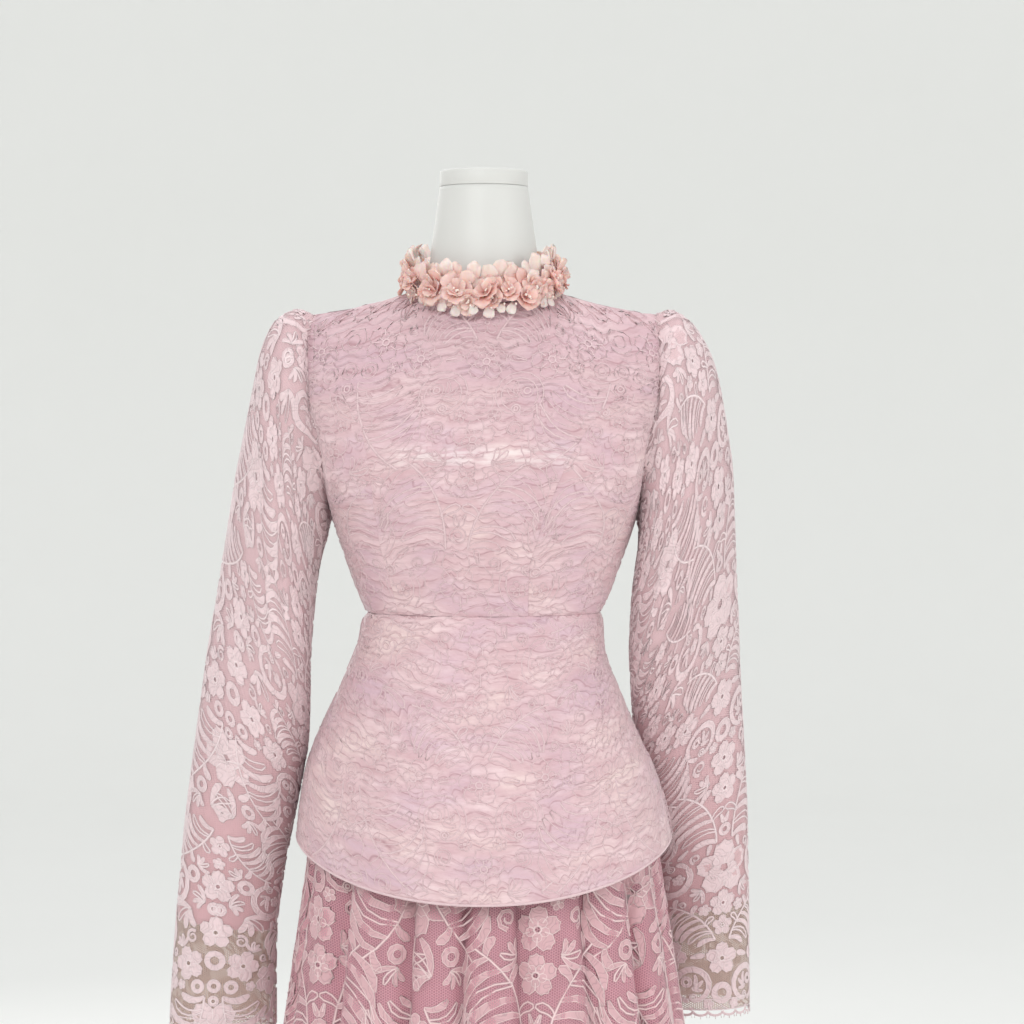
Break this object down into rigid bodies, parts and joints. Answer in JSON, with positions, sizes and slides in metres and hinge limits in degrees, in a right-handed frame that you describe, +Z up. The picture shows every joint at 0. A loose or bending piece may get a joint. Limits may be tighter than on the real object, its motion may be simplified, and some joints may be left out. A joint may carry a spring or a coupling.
{
  "type": "lace peplum top and skirt set on dress form",
  "caption": "Long-sleeved corded-lace peplum top with a flower-trimmed collar over a long gathered lined lace skirt, standing on a limbless dress form.",
  "frame": {"origin": "centre of the base's flat underside, on the floor", "axes": "+Z up, -Y towards the wearer's front, +X towards the wearer's left"},
  "size_m": [0.614, 0.585, 1.5],
  "materials": {
    "mounted_lace": "corded lace mounted on satin",
    "lace": "corded lace on a fine net",
    "satin": "smooth satin with a soft sheen",
    "blossom": "thin stiffened petals",
    "form_white": "smooth white moulding",
    "pole_steel": "brushed tube",
    "base_white": "white powder coat"
  },
  "bodies": {
    "root": {"bodice_front": "mounted_lace", "bodice_side_front_left": "mounted_lace", "bodice_side_front_right": "mounted_lace", "bodice_back_left": "mounted_lace", "bodice_back_right": "mounted_lace", "collar_band": "mounted_lace", "peplum_front": "mounted_lace", "peplum_back": "mounted_lace", "flower_trim": "blossom", "sleeve_left": "lace", "sleeve_right": "lace", "cuff_left": "lace", "cuff_right": "lace", "skirt_lace_front": "lace", "skirt_lace_back": "lace", "sleeve_lining_left": "satin", "sleeve_lining_right": "satin", "skirt_lining_front": "satin", "skirt_lining_back": "satin", "skirt_waistband": "satin", "dress_form": "form_white", "form_neck_cap": "form_white", "form_pole": "pole_steel", "form_base": "base_white"}
  },
  "joints": []
}
